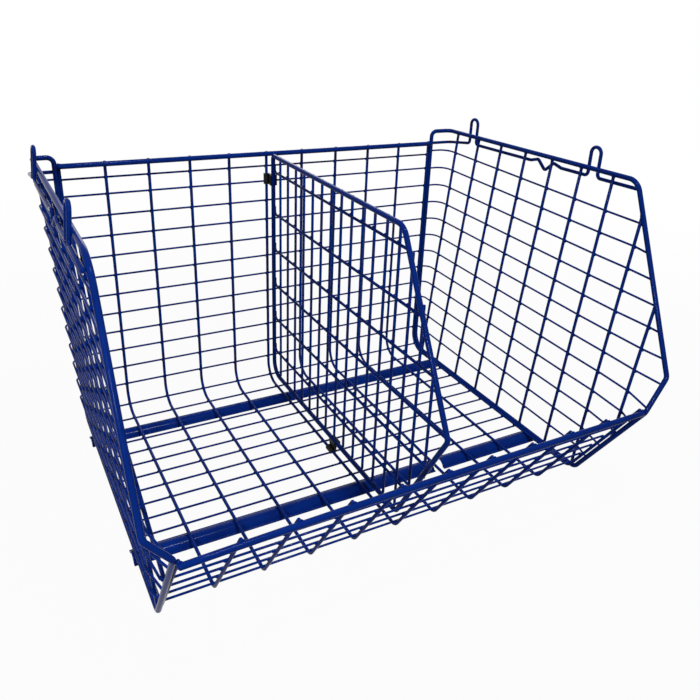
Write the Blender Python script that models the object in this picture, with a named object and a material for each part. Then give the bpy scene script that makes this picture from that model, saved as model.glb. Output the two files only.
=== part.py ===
"""Wire storage basket: an open-fronted stacking bin of coated steel wire with a lift-out divider.

Design frame while modelling: X to the right, Y to the back, Z up. The axis of the middle bent wire
stands at X = 0, the axes of the back wires lie at Y = 0 and the axes of the floor wires at Z = 0.
At the end the whole basket is moved so that its origin is the centre of its underside.
"""

import math
from collections import namedtuple

import bmesh
import bpy
from mathutils import Vector

MM = 0.001

# Wire sizes (diameters over the coating)
BENT_WIRE = 3.5 * MM
THIN_WIRE = 2.2 * MM
FRAME_ROD = 5.5 * MM
RAIL_ROD = 6.0 * MM
STACKING_WIRE = 4.0 * MM
DIVIDER_ROD = 5.5 * MM
DIVIDER_WIRE = 3.0 * MM
WELD_GAP = 0.3 * MM
WELD_DEPTH = 0.5 * MM
WELD_RUN = 1.2 * MM

# Bent wires that make the back, the floor and the front lip
BENT_WIRE_COUNT = 11
BENT_WIRE_PITCH = 50.0 * MM
BACK_TIP_HEIGHT = 329.8 * MM
FLOOR_FRONT = 361.5 * MM
REAR_BEND_RADIUS = 26.0 * MM
FRONT_BEND_RADIUS = 12.0 * MM
LIP_RISE = 125.9 * MM
LIP_REACH = 81.8 * MM
LIP_TIP = 1.5 * MM
WIRE_OVERHANG = 2.0 * MM

# Rail in front of the back wires, a little below their tips
BACK_RAIL_DROP = 2.8 * MM

# Cross wires
BACK_FIRST_DROP = 17.0 * MM
BACK_SECOND_DROP = 37.0 * MM
BACK_LOW_ROW = 32.5 * MM
BACK_ROW_COUNT = 10
BEND_ROW_COUNT = 1
FLOOR_FIRST_ROW = 81.7 * MM
FLOOR_ROW_PITCH = 25.35 * MM
FLOOR_ROW_COUNT = 8
FLOOR_REAR_ROW = 29.5 * MM
LIP_FIRST_ROW = 5.5 * MM
LIP_ROW_PITCH = 24.5 * MM
LIP_ROW_COUNT = 5

# Pressed channels under the floor
CHANNEL_CROWN = 19.0 * MM
CHANNEL_HEIGHT = 7.0 * MM
CHANNEL_FLANGE = 2.6 * MM
CHANNEL_SHEET = 1.2 * MM
CHANNEL_HALF_LENGTH = 259.0 * MM
REAR_CHANNEL_PLACE = 53.5 * MM
FRONT_CHANNEL_PLACE = 279.5 * MM
FRONT_CHANNEL_BREAK = 101.0 * MM
FRONT_CHANNEL_BREAK_WIDTH = 13.0 * MM

# Side panels: the left one stands a little steeper and lower than the right one, whose mesh is welded
# on a little turned, so that its rows fall to the front and its uprights' feet stand back
LEFT_REAR_FLARE = 22.0 * MM
LEFT_FRONT_FLARE = 22.5 * MM
LEFT_NOSE_FLARE = 22.5 * MM
LEFT_REAR_HEIGHT = 337.0 * MM
LEFT_FRONT_HEIGHT = 340.0 * MM
LEFT_NOSE_HEIGHT = 153.0 * MM
LEFT_TOP_ROW_DROP = 26.0 * MM
LEFT_MESH_LEAN = 0.0 * MM
RIGHT_REAR_FLARE = 31.5 * MM
RIGHT_FRONT_FLARE = 27.5 * MM
RIGHT_NOSE_FLARE = 22.0 * MM
RIGHT_REAR_HEIGHT = 343.5 * MM
RIGHT_FRONT_HEIGHT = 352.0 * MM
RIGHT_NOSE_HEIGHT = 161.0 * MM
RIGHT_TOP_ROW_DROP = 28.4 * MM
RIGHT_MESH_LEAN = 8.0 * MM
RIM_FRONT_PLACE = 354.0 * MM
NOSE_PLACE = 447.0 * MM
LIP_CORNER_PLACE = 447.0 * MM
LIP_CORNER_HEIGHT = 123.0 * MM
SILL_FRONT = 367.5 * MM
RIM_CORNER_RADIUS = 7.5 * MM
RIM_TURN_RADIUS = 18.0 * MM
NOSE_RADIUS = 10.0 * MM
LIP_CORNER_RADIUS = 8.0 * MM
SIDE_WIRE_FIRST = 23.2 * MM
SIDE_WIRE_PITCH = 49.5 * MM
SIDE_WIRE_COUNT = 9
SIDE_WIRE_LAST = 412.0 * MM
SIDE_LOW_ROW_LEFT = 28.5 * MM
SIDE_LOW_ROW_RIGHT = 32.6 * MM
SIDE_ROW_COUNT = 12
SIDE_ROW_TURN_RADIUS = 16.0 * MM
SIDE_ROW_TURN_SHARE = 0.75

# Stacking wires under the side rims
STACKING_REAR_DROP = 17.5 * MM
STACKING_DROP = 11.5 * MM
STACKING_END_DROP = 10.0 * MM
STACKING_END = 357.0 * MM
REAR_LOOP_PLACE = 52.5 * MM
FRONT_LOOP_PLACE = 284.5 * MM
LOOP_RISE = 33.8 * MM
LOOP_WIDTH = 15.0 * MM
LOOP_FOOT_RADIUS = 5.0 * MM
LOOP_TIP_SHARE = 0.47
NOTCH_PLACE = 205.0 * MM
NOTCH_DEPTH = 8.0 * MM
NOTCH_PEAK = 3.5 * MM
NOTCH_HALF_WIDTH = 14.0 * MM
NOTCH_BEND_RADIUS = 4.0 * MM

# Divider
DIVIDER_PLACE = 5.0 * MM
DIVIDER_TOP = 325.6 * MM
DIVIDER_TOP_FRONT = 331.0 * MM
DIVIDER_NOSE_PLACE = 430.7 * MM
DIVIDER_NOSE_HEIGHT = 147.5 * MM
DIVIDER_FOOT = 353.5 * MM
DIVIDER_HEEL_RADIUS = 20.0 * MM
DIVIDER_REAR_RADIUS = 5.0 * MM
DIVIDER_BEND_RADIUS = 18.0 * MM
DIVIDER_NOSE_RADIUS = 7.0 * MM
DIVIDER_FOOT_RADIUS = 10.0 * MM
DIVIDER_UPRIGHT_FIRST = 14.4 * MM
DIVIDER_UPRIGHT_PITCH = 24.5 * MM
DIVIDER_UPRIGHT_COUNT = 16
DIVIDER_ROW_DROP = 20.6 * MM
DIVIDER_TOP_GAP = 55.5 * MM
DIVIDER_ROW_PITCH = 50.2 * MM
DIVIDER_ROW_COUNT = 6
DIVIDER_HOOK = 11.0 * MM
DIVIDER_HOOK_RADIUS = 5.0 * MM

# Plastic clips that hold the divider to the middle bent wire
CLIP_WALL = 1.5 * MM
CLIP_LENGTH = 14.0 * MM
CLIP_HOOK_ARM = 1.5 * MM
CLIP_CRADLE_ARM = 1.6 * MM
REAR_CLIP_DROP = 33.0 * MM
FLOOR_CLIP_UPRIGHT = 7
CLIP_SIDE_GAP = 0.6 * MM

# Facets
ROD_SIDES = 12
WIRE_SIDES = 8
THIN_SIDES = 6
BEND_STEPS = 4
STACKING_STEPS = 3
CAP_WELD = 0.001 * MM

COAT_BLUE = (0.012, 0.043, 0.235)
CLIP_BLACK = (0.012, 0.012, 0.014)

# Places that follow from the sizes above
Side = namedtuple("Side", "name sign rear_flare front_flare nose_flare rear_height front_height nose_height "
                  "top_row low_row mesh_lean")
LEFT_SIDE = Side("left", -1, LEFT_REAR_FLARE, LEFT_FRONT_FLARE, LEFT_NOSE_FLARE, LEFT_REAR_HEIGHT,
                 LEFT_FRONT_HEIGHT, LEFT_NOSE_HEIGHT, LEFT_REAR_HEIGHT - LEFT_TOP_ROW_DROP, SIDE_LOW_ROW_LEFT,
                 LEFT_MESH_LEAN)
RIGHT_SIDE = Side("right", 1, RIGHT_REAR_FLARE, RIGHT_FRONT_FLARE, RIGHT_NOSE_FLARE, RIGHT_REAR_HEIGHT,
                  RIGHT_FRONT_HEIGHT, RIGHT_NOSE_HEIGHT, RIGHT_REAR_HEIGHT - RIGHT_TOP_ROW_DROP, SIDE_LOW_ROW_RIGHT,
                  RIGHT_MESH_LEAN)
BACK_RAIL_HEIGHT = BACK_TIP_HEIGHT - BACK_RAIL_DROP
BACK_TOP_ROWS = (BACK_RAIL_HEIGHT - BACK_FIRST_DROP, BACK_RAIL_HEIGHT - BACK_SECOND_DROP)
REAR_CLIP_HEIGHT = BACK_RAIL_HEIGHT - REAR_CLIP_DROP
LOOP_PLACES = (REAR_LOOP_PLACE, FRONT_LOOP_PLACE)
GRID_HALF_WIDTH = BENT_WIRE_PITCH * (BENT_WIRE_COUNT - 1) / 2
FRAME_X = GRID_HALF_WIDTH + (BENT_WIRE + FRAME_ROD) / 2 + WELD_GAP
FRAME_INSET = (FRAME_ROD - BENT_WIRE) / 2
CROSS_OFFSET = (BENT_WIRE + THIN_WIRE) / 2 + WELD_GAP
LIP_LENGTH = math.hypot(LIP_RISE, LIP_REACH)
LIP_UP = Vector((0.0, -LIP_REACH / LIP_LENGTH, LIP_RISE / LIP_LENGTH))
LIP_OUT = Vector((0.0, -LIP_RISE / LIP_LENGTH, -LIP_REACH / LIP_LENGTH))
LIP_FOOT = Vector((0.0, -FLOOR_FRONT, 0.0))
CHANNEL_TOP = -BENT_WIRE / 2 - WELD_GAP
RAIL_OFFSET = (BENT_WIRE + RAIL_ROD) / 2 + WELD_GAP
RAIL_END = FRAME_X - FRAME_ROD / 2 - WELD_GAP
DIVIDER_BACK = -RAIL_OFFSET - (RAIL_ROD + DIVIDER_ROD) / 2 - WELD_GAP
DIVIDER_FLOOR = -DIVIDER_BACK
DIVIDER_ROW_TOP = DIVIDER_TOP - DIVIDER_ROW_DROP
FLOOR_CLIP_PLACE = (DIVIDER_UPRIGHT_FIRST + DIVIDER_UPRIGHT_PITCH * FLOOR_CLIP_UPRIGHT - DIVIDER_BACK
                    + (DIVIDER_WIRE + CLIP_LENGTH) / 2 + CLIP_SIDE_GAP)


def clear_scene():
    """Removes whatever the scene holds."""
    for item in list(bpy.data.objects):
        bpy.data.objects.remove(item, do_unlink=True)


def coat(name, colour, roughness, metallic):
    """Makes a Principled material."""
    material = bpy.data.materials.new(name)
    material.use_nodes = True
    shader = material.node_tree.nodes["Principled BSDF"]
    shader.inputs["Base Color"].default_value = (*colour, 1.0)
    shader.inputs["Roughness"].default_value = roughness
    shader.inputs["Metallic"].default_value = metallic
    return material


def blue_coat(name):
    """Glossy dipped blue coating over steel."""
    return coat(name + "_coating", COAT_BLUE, 0.28, 0.15)


def black_plastic(name):
    """Moulded black plastic."""
    return coat(name + "_plastic", CLIP_BLACK, 0.45, 0.0)


def bend(previous, corner, following, radius, steps=BEND_STEPS):
    """Points of the round bend that replaces a corner."""
    to_start = (previous - corner).normalized()
    to_end = (following - corner).normalized()
    half = to_start.angle(to_end) / 2
    if radius <= 0.0 or math.pi / 2 - half < 1e-4:
        return [corner]
    reach = radius / math.tan(half)
    centre = corner + (to_start + to_end).normalized() * (radius / math.sin(half))
    first = corner + to_start * reach - centre
    last = corner + to_end * reach - centre
    turn = math.pi - 2 * half
    points = []
    for step in range(steps + 1):
        share = step / steps
        mix = first * math.sin((1 - share) * turn) + last * math.sin(share * turn)
        points.append(centre + mix / math.sin(turn))
    return points


def bent_path(corners, radii, closed=False, steps=BEND_STEPS):
    """Turns corners into a wire's path: each corner becomes a bend of its own radius."""
    corners = [Vector(corner) for corner in corners]
    count = len(corners)
    path = []
    for index, corner in enumerate(corners):
        at_end = index in (0, count - 1)
        if at_end and not closed:
            path.append(corner)
        else:
            before = corners[index - 1]
            after = corners[(index + 1) % count]
            path += bend(before, corner, after, radii[index], steps)
    return path


def mirrored(paths):
    """The same paths on the other side of the basket."""
    return [[Vector((-point.x, point.y, point.z)) for point in path] for path in paths]


def wires(name, paths, diameter, sides, collection, root, closed=False):
    """One object of round wires that follow the given paths."""
    curve = bpy.data.curves.new(name, "CURVE")
    curve.dimensions = "3D"
    curve.bevel_depth = diameter / 2
    curve.bevel_resolution = (sides - 4) // 2
    curve.use_fill_caps = True
    for path in paths:
        spline = curve.splines.new("POLY")
        spline.points.add(len(path) - 1)
        for point, place in zip(spline.points, path):
            point.co = (*place, 1.0)
        spline.use_cyclic_u = closed
    curve.materials.append(blue_coat(name))
    return placed(name, curve, collection, root)


def placed(name, data, collection, root):
    """Links an object under its root."""
    item = bpy.data.objects.new(name, data)
    collection.objects.link(item)
    item.parent = root
    return item


def lip_point(x, along, outward=0.0):
    """A point on the front lip: distance up the lip from its foot and distance out of its plane."""
    point = LIP_FOOT + LIP_UP * along + LIP_OUT * outward
    return Vector((x, point.y, point.z))


def bent_wire_path(x):
    """Back, floor and lip of one bent wire, from its top tip to its lip tip."""
    corners = [
        (x, 0.0, BACK_TIP_HEIGHT),
        (x, 0.0, 0.0),
        (x, -FLOOR_FRONT, 0.0),
        lip_point(x, LIP_LENGTH + LIP_TIP),
    ]
    return bent_path(corners, [0.0, REAR_BEND_RADIUS, FRONT_BEND_RADIUS, 0.0])


def cross_wire(y, z):
    """A straight wire from one end bent wire to the other."""
    end = GRID_HALF_WIDTH + WIRE_OVERHANG
    return [Vector((-end, y, z)), Vector((end, y, z))]


def back_rows():
    """Heights of the thin wires on the back."""
    regular = [between(BACK_TOP_ROWS[-1], BACK_LOW_ROW, (row + 1) / BACK_ROW_COUNT) for row in range(BACK_ROW_COUNT)]
    return list(BACK_TOP_ROWS) + regular


def back_cross_paths():
    """Thin wires behind the back, with those that sit on the rear bend."""
    paths = [cross_wire(CROSS_OFFSET, height) for height in back_rows()]
    reach = REAR_BEND_RADIUS + CROSS_OFFSET
    for row in range(BEND_ROW_COUNT):
        angle = math.pi / 2 * (row + 1) / (BEND_ROW_COUNT + 1)
        paths.append(cross_wire(reach * math.cos(angle) - REAR_BEND_RADIUS,
                                REAR_BEND_RADIUS - reach * math.sin(angle)))
    return paths


def floor_cross_paths():
    """Thin wires under the floor."""
    places = [FLOOR_REAR_ROW]
    places += [FLOOR_FIRST_ROW + FLOOR_ROW_PITCH * row for row in range(FLOOR_ROW_COUNT)]
    return [cross_wire(-place, -CROSS_OFFSET) for place in places]


def lip_cross_paths():
    """Thin wires on the inner face of the lip."""
    end = GRID_HALF_WIDTH + BENT_WIRE / 2
    paths = []
    for row in range(LIP_ROW_COUNT):
        along = LIP_FIRST_ROW + LIP_ROW_PITCH * row
        paths.append([lip_point(-end, along, -CROSS_OFFSET), lip_point(end, along, -CROSS_OFFSET)])
    return paths


def back_rail_path():
    """Rod in front of the tips of the back wires."""
    return [Vector((side * RAIL_END, -RAIL_OFFSET, BACK_RAIL_HEIGHT)) for side in (-1, 1)]


def front_rail_path():
    """Rod outside the lip, from one side panel to the other."""
    return [lip_point(side * RAIL_END, LIP_LENGTH, RAIL_OFFSET) for side in (-1, 1)]


def extruded(name, outline, length, material, collection, root):
    """A flat outline pulled to both sides of its plane."""
    curve = bpy.data.curves.new(name, "CURVE")
    curve.dimensions = "2D"
    curve.fill_mode = "BOTH"
    curve.extrude = length / 2
    spline = curve.splines.new("POLY")
    spline.points.add(len(outline) - 1)
    for point, place in zip(spline.points, outline):
        point.co = (place[0], place[1], 0.0, 1.0)
    spline.use_cyclic_u = True
    curve.materials.append(material)
    return placed(name, curve, collection, root)


def arc(centre, radius, start, end, steps=2 * BEND_STEPS):
    """Points of a flat arc between two angles in degrees."""
    angles = [math.radians(start + (end - start) * step / steps) for step in range(steps + 1)]
    return [(centre[0] + radius * math.cos(angle), centre[1] + radius * math.sin(angle)) for angle in angles]


def channel_outline():
    """Section of a channel: an arched crown with a flat flange on either side, its top at the origin."""
    half = CHANNEL_CROWN / 2
    radius = (half * half + CHANNEL_HEIGHT * CHANNEL_HEIGHT) / (2 * CHANNEL_HEIGHT)
    inner = radius - CHANNEL_SHEET
    centre = (0.0, -radius)
    flange_top = CHANNEL_SHEET - CHANNEL_HEIGHT
    outer_foot = math.degrees(math.asin((flange_top + radius) / radius))
    inner_foot = math.degrees(math.asin((radius - CHANNEL_HEIGHT) / inner))
    edge = half + CHANNEL_FLANGE
    outline = [(edge, -CHANNEL_HEIGHT), (edge, flange_top)]
    outline += arc(centre, radius, outer_foot, 180 - outer_foot)
    outline += [(-edge, flange_top), (-edge, -CHANNEL_HEIGHT)]
    outline += arc(centre, inner, 180 - inner_foot, inner_foot)
    return outline


def channel(name, left, right, place, collection, root):
    """A channel that runs across the basket under the bent wires."""
    item = extruded(name, channel_outline(), right - left, blue_coat(name), collection, root)
    item.rotation_euler = (math.pi / 2, 0.0, math.pi / 2)
    item.location = ((left + right) / 2, -place, CHANNEL_TOP)
    return item


def as_mesh(item):
    """Replaces a curve object by a mesh object of the same shape, with its end caps welded on."""
    bpy.context.view_layer.update()
    graph = bpy.context.evaluated_depsgraph_get()
    mesh = bpy.data.meshes.new_from_object(item.evaluated_get(graph))
    shape = bmesh.new()
    shape.from_mesh(mesh)
    bmesh.ops.remove_doubles(shape, verts=shape.verts, dist=CAP_WELD)
    shape.to_mesh(mesh)
    shape.free()
    name = item.name
    root = item.parent
    collection = item.users_collection[0]
    bpy.data.objects.remove(item, do_unlink=True)
    mesh.name = name
    return placed(name, mesh, collection, root)


def weld(rod, wire_sets, tools):
    """Welds wires onto a closed rod, so that the panel is one piece."""
    panel = as_mesh(rod)
    for index, wire_set in enumerate(wire_sets):
        filler = as_mesh(wire_set)
        for owner in list(filler.users_collection):
            owner.objects.unlink(filler)
        tools.objects.link(filler)
        filler.hide_render = True
        filler.display_type = "WIRE"
        union = panel.modifiers.new("weld_" + str(index), "BOOLEAN")
        union.operation = "UNION"
        union.object = filler
    panel.data.shade_smooth()
    return panel


def between(start, end, share):
    """A value part of the way from start to end."""
    return start + (end - start) * share


def rim_point(side, y):
    """Point of the right-hand top rim over a place in the depth, which may lie past its front bend."""
    share = -y / RIM_FRONT_PLACE
    x = FRAME_X + between(side.rear_flare, side.front_flare, min(share, 1.0))
    return Vector((x, y, between(side.rear_height, side.front_height, share)))


def slant_point(side, y):
    """Point of the slanting front edge over a place in the depth."""
    share = (-y - RIM_FRONT_PLACE) / (NOSE_PLACE - RIM_FRONT_PLACE)
    x = FRAME_X + between(side.front_flare, side.nose_flare, share)
    return Vector((x, y, between(side.front_height, side.nose_height, share)))


def front_edge(side, z):
    """Point of a side panel's front edge at a height: on the slant, the nose or the lip's end."""
    if z > side.nose_height:
        share = (side.front_height - z) / (side.front_height - side.nose_height)
        return slant_point(side, -between(RIM_FRONT_PLACE, NOSE_PLACE, share))
    if z > LIP_CORNER_HEIGHT:
        share = (side.nose_height - z) / (side.nose_height - LIP_CORNER_HEIGHT)
        x = FRAME_X + between(side.nose_flare, 0.0, share)
        return Vector((x, -between(NOSE_PLACE, LIP_CORNER_PLACE, share), z))
    share = (LIP_CORNER_HEIGHT - z) / (LIP_CORNER_HEIGHT - FRAME_INSET)
    return Vector((FRAME_X, -between(LIP_CORNER_PLACE, SILL_FRONT, share), z))


def side_frame_path(side):
    """Closed rod round a side panel, drawn on the right."""
    back = -FRAME_INSET
    corners = [
        (FRAME_X, back, FRAME_INSET),
        (FRAME_X, back, side.rear_height),
        (FRAME_X + side.rear_flare, back, side.rear_height),
        rim_point(side, -RIM_FRONT_PLACE),
        slant_point(side, -NOSE_PLACE),
        (FRAME_X, -LIP_CORNER_PLACE, LIP_CORNER_HEIGHT),
        (FRAME_X, -SILL_FRONT, FRAME_INSET),
    ]
    radii = [
        REAR_BEND_RADIUS - FRAME_INSET,
        RIM_CORNER_RADIUS,
        RIM_CORNER_RADIUS,
        RIM_TURN_RADIUS,
        NOSE_RADIUS,
        LIP_CORNER_RADIUS,
        FRONT_BEND_RADIUS - FRAME_INSET,
    ]
    return bent_path(corners, radii, closed=True)


def side_wire_ends(side, index):
    """Lower and upper end of an upright wire of a side panel, each inside the frame rod."""
    last = index == SIDE_WIRE_COUNT - 1
    y = -SIDE_WIRE_LAST if last else -(SIDE_WIRE_FIRST + SIDE_WIRE_PITCH * index)
    foot = Vector((FRAME_X, y if last else min(y + side.mesh_lean, -SIDE_WIRE_FIRST), FRAME_INSET))
    if -foot.y > SILL_FRONT:
        share = (-foot.y - SILL_FRONT) / (LIP_CORNER_PLACE - SILL_FRONT)
        foot.z = between(FRAME_INSET, LIP_CORNER_HEIGHT, share)
    top = rim_point(side, y) if -y < RIM_FRONT_PLACE else slant_point(side, y)
    return foot, top


def side_row_path(side, start_z):
    """A thin wire of a side panel: a short return behind the corner, then forward to the front edge."""
    back = -FRAME_INSET + (FRAME_ROD + THIN_WIRE) / 2 - WELD_DEPTH
    start = Vector((GRID_HALF_WIDTH + WIRE_OVERHANG + WELD_GAP, back, start_z))
    crossed = []
    for index in range(SIDE_WIRE_COUNT):
        foot, top = side_wire_ends(side, index)
        z = start_z + side.mesh_lean * top.y / NOSE_PLACE
        if foot.z < z < top.z - FRAME_ROD:
            place = foot + (top - foot) * ((z - foot.z) / (top.z - foot.z))
            crossed.append(place + Vector((CROSS_OFFSET, 0.0, 0.0)))
    end = front_edge(side, start_z - side.mesh_lean) + Vector((0.0, FRAME_ROD / 4, 0.0))
    corner = Vector((crossed[0].x, back, start_z))
    turn = min(SIDE_ROW_TURN_RADIUS, SIDE_ROW_TURN_SHARE * (corner.x - start.x))
    kinked = [crossed[0]] + crossed[-3:]
    return bent_path([start, corner, *kinked, end], [0.0, turn] + [0.0] * (len(kinked) + 1))


def stacking_wire_path(side):
    """Wire outside a rim, with two hairpin loops that stand above the rim and a notch between them."""
    offset = (FRAME_ROD + STACKING_WIRE) / 2 + WELD_GAP
    back = -FRAME_INSET + offset

    def at(place, above=0.0):
        drop = between(STACKING_DROP, STACKING_END_DROP, place / RIM_FRONT_PLACE)
        return rim_point(side, -place) + Vector((offset, 0.0, above - drop))

    def loop(place):
        half = LOOP_WIDTH / 2
        return [at(place - half), at(place - half, LOOP_RISE), at(place + half, LOOP_RISE), at(place + half)]

    loop_radii = [LOOP_FOOT_RADIUS, LOOP_TIP_SHARE * LOOP_WIDTH, LOOP_TIP_SHARE * LOOP_WIDTH, LOOP_FOOT_RADIUS]
    rear = side.rear_height - STACKING_REAR_DROP
    corners = [Vector((FRAME_X, back, rear)), Vector((at(0.0).x, back, rear))]
    corners += loop(LOOP_PLACES[0])
    corners += [
        at(NOTCH_PLACE - 2 * NOTCH_HALF_WIDTH),
        at(NOTCH_PLACE - NOTCH_HALF_WIDTH, NOTCH_PEAK),
        at(NOTCH_PLACE, -NOTCH_DEPTH),
        at(NOTCH_PLACE + NOTCH_HALF_WIDTH, NOTCH_PEAK),
        at(NOTCH_PLACE + 2 * NOTCH_HALF_WIDTH),
    ]
    corners += loop(LOOP_PLACES[1])
    corners.append(at(STACKING_END))
    radii = [0.0, RIM_CORNER_RADIUS] + loop_radii + [NOTCH_BEND_RADIUS] * 5 + loop_radii + [0.0]
    return bent_path(corners, radii, steps=STACKING_STEPS)


def side_panel(side, collection, tools, root):
    """Frame rod with its uprights and thin wires welded on, and the stacking wire outside it."""
    name = side.name
    flip = mirrored if side.sign < 0 else list
    frame_path = flip([side_frame_path(side)])
    frame = wires(name + "_side_panel", frame_path, FRAME_ROD, ROD_SIDES, collection, root, closed=True)
    ends = flip([list(side_wire_ends(side, index)) for index in range(SIDE_WIRE_COUNT)])
    uprights = wires(name + "_side_uprights", ends, BENT_WIRE, WIRE_SIDES, collection, root)
    heights = [between(side.top_row, side.low_row, row / (SIDE_ROW_COUNT - 1)) for row in range(SIDE_ROW_COUNT)]
    paths = flip([side_row_path(side, height) for height in heights])
    rows = wires(name + "_side_rows", paths, THIN_WIRE, THIN_SIDES, collection, root)
    weld(frame, [uprights, rows], tools)
    loops = flip([stacking_wire_path(side)])
    wires(name + "_stacking_wire", loops, STACKING_WIRE, WIRE_SIDES, collection, root)


def divider_slant_height(y):
    """Height of the divider's upper front edge over a place in the depth."""
    share = (-y - DIVIDER_TOP_FRONT) / (DIVIDER_NOSE_PLACE - DIVIDER_TOP_FRONT)
    return between(DIVIDER_TOP, DIVIDER_NOSE_HEIGHT, share)


def divider_toe_height(y):
    """Height of the divider's lower front edge over a place in the depth."""
    share = (-y - DIVIDER_FOOT) / (DIVIDER_NOSE_PLACE - DIVIDER_FOOT)
    return between(DIVIDER_FLOOR, DIVIDER_NOSE_HEIGHT, share)


def divider_front(z):
    """Depth of the divider's front edge at a height."""
    if z > DIVIDER_NOSE_HEIGHT:
        share = (DIVIDER_TOP - z) / (DIVIDER_TOP - DIVIDER_NOSE_HEIGHT)
        return -between(DIVIDER_TOP_FRONT, DIVIDER_NOSE_PLACE, share)
    share = (z - DIVIDER_FLOOR) / (DIVIDER_NOSE_HEIGHT - DIVIDER_FLOOR)
    return -between(DIVIDER_FOOT, DIVIDER_NOSE_PLACE, share)


def divider_frame_path():
    """Closed rod round the divider."""
    corners = [
        (DIVIDER_PLACE, DIVIDER_BACK, DIVIDER_FLOOR),
        (DIVIDER_PLACE, DIVIDER_BACK, DIVIDER_TOP),
        (DIVIDER_PLACE, -DIVIDER_TOP_FRONT, DIVIDER_TOP),
        (DIVIDER_PLACE, -DIVIDER_NOSE_PLACE, DIVIDER_NOSE_HEIGHT),
        (DIVIDER_PLACE, -DIVIDER_FOOT, DIVIDER_FLOOR),
    ]
    radii = [
        DIVIDER_HEEL_RADIUS,
        DIVIDER_REAR_RADIUS,
        DIVIDER_BEND_RADIUS,
        DIVIDER_NOSE_RADIUS,
        DIVIDER_FOOT_RADIUS,
    ]
    return bent_path(corners, radii, closed=True)


def divider_upright_paths():
    """Upright wires on the right face of the divider's frame."""
    x = DIVIDER_PLACE + (DIVIDER_ROD + DIVIDER_WIRE) / 2 - WELD_DEPTH
    paths = []
    for index in range(DIVIDER_UPRIGHT_COUNT):
        y = DIVIDER_BACK - DIVIDER_UPRIGHT_FIRST - DIVIDER_UPRIGHT_PITCH * index
        top = DIVIDER_TOP if -y < DIVIDER_TOP_FRONT else divider_slant_height(y)
        foot = DIVIDER_FLOOR if -y < DIVIDER_FOOT else divider_toe_height(y)
        paths.append([Vector((x, y, foot - WELD_RUN)), Vector((x, y, top + WELD_RUN))])
    return paths


def divider_row_paths():
    """Wires along the divider, with rear ends hooked up beside the rear upright."""
    x = DIVIDER_PLACE + (DIVIDER_ROD - DIVIDER_WIRE) / 2 - WELD_DEPTH - WELD_GAP
    hook_y = DIVIDER_BACK - (DIVIDER_ROD + DIVIDER_WIRE) / 2 + WELD_DEPTH
    paths = []
    for row in range(DIVIDER_ROW_COUNT):
        below = DIVIDER_TOP_GAP + DIVIDER_ROW_PITCH * (row - 1) if row else 0.0
        z = DIVIDER_ROW_TOP - below
        front = divider_front(z) + DIVIDER_ROD / 4
        corners = [(x, hook_y, z + DIVIDER_HOOK), (x, hook_y, z), (x, front, z)]
        paths.append(bent_path(corners, [0.0, DIVIDER_HOOK_RADIUS, 0.0]))
    return paths


def divider(collection, tools, root):
    """The lift-out divider panel."""
    frame = wires("divider", [divider_frame_path()], DIVIDER_ROD, ROD_SIDES, collection, root, closed=True)
    uprights = wires("divider_uprights", divider_upright_paths(), DIVIDER_WIRE, WIRE_SIDES, collection, root)
    rows = wires("divider_rows", divider_row_paths(), DIVIDER_WIRE, WIRE_SIDES, collection, root)
    weld(frame, [uprights, rows], tools)


def clip_outline(across, down):
    """S-shaped section of a clip, seen along the wires.

    Its hook sits over the bent wire at the origin and opens up the page; its cradle holds the
    divider's rod, which lies across and down from there, and opens down the page.
    """
    seat = BENT_WIRE / 2 + WELD_GAP
    hook = seat + CLIP_WALL
    bore = DIVIDER_ROD / 2 + WELD_GAP
    cradle = bore + CLIP_WALL
    held = (across, -down)
    arm_foot = -down - CLIP_CRADLE_ARM
    outline = [(-hook, CLIP_HOOK_ARM)]
    outline += arc((0.0, 0.0), hook, 180, 300)
    outline += [(across - cradle, arm_foot), (across - bore, arm_foot)]
    outline += arc(held, bore, 180, 0)
    outline += [(across + bore, arm_foot), (across + cradle, arm_foot)]
    outline += arc(held, cradle, 0, 95)
    outline += [(hook, CLIP_HOOK_ARM), (seat, CLIP_HOOK_ARM)]
    outline += arc((0.0, 0.0), seat, 0, -180)
    outline += [(-seat, CLIP_HOOK_ARM)]
    return outline


def clips(collection, root):
    """The two plastic clips that hold the divider to the middle bent wire."""
    outline = clip_outline(DIVIDER_PLACE, -DIVIDER_BACK)
    rear = extruded("rear_clip", outline, CLIP_LENGTH, black_plastic("rear_clip"), collection, root)
    rear.location = (0.0, 0.0, REAR_CLIP_HEIGHT)
    outline = clip_outline(DIVIDER_PLACE, DIVIDER_FLOOR)
    floor = extruded("floor_clip", outline, CLIP_LENGTH, black_plastic("floor_clip"), collection, root)
    floor.rotation_euler = (-math.pi / 2, 0.0, 0.0)
    floor.location = (0.0, -FLOOR_CLIP_PLACE, 0.0)


def numbered(name, paths, diameter, sides, collection, root):
    """One object for each wire of a set."""
    for number, path in enumerate(paths, start=1):
        wires(f"{name}_{number:02d}", [path], diameter, sides, collection, root)


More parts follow.
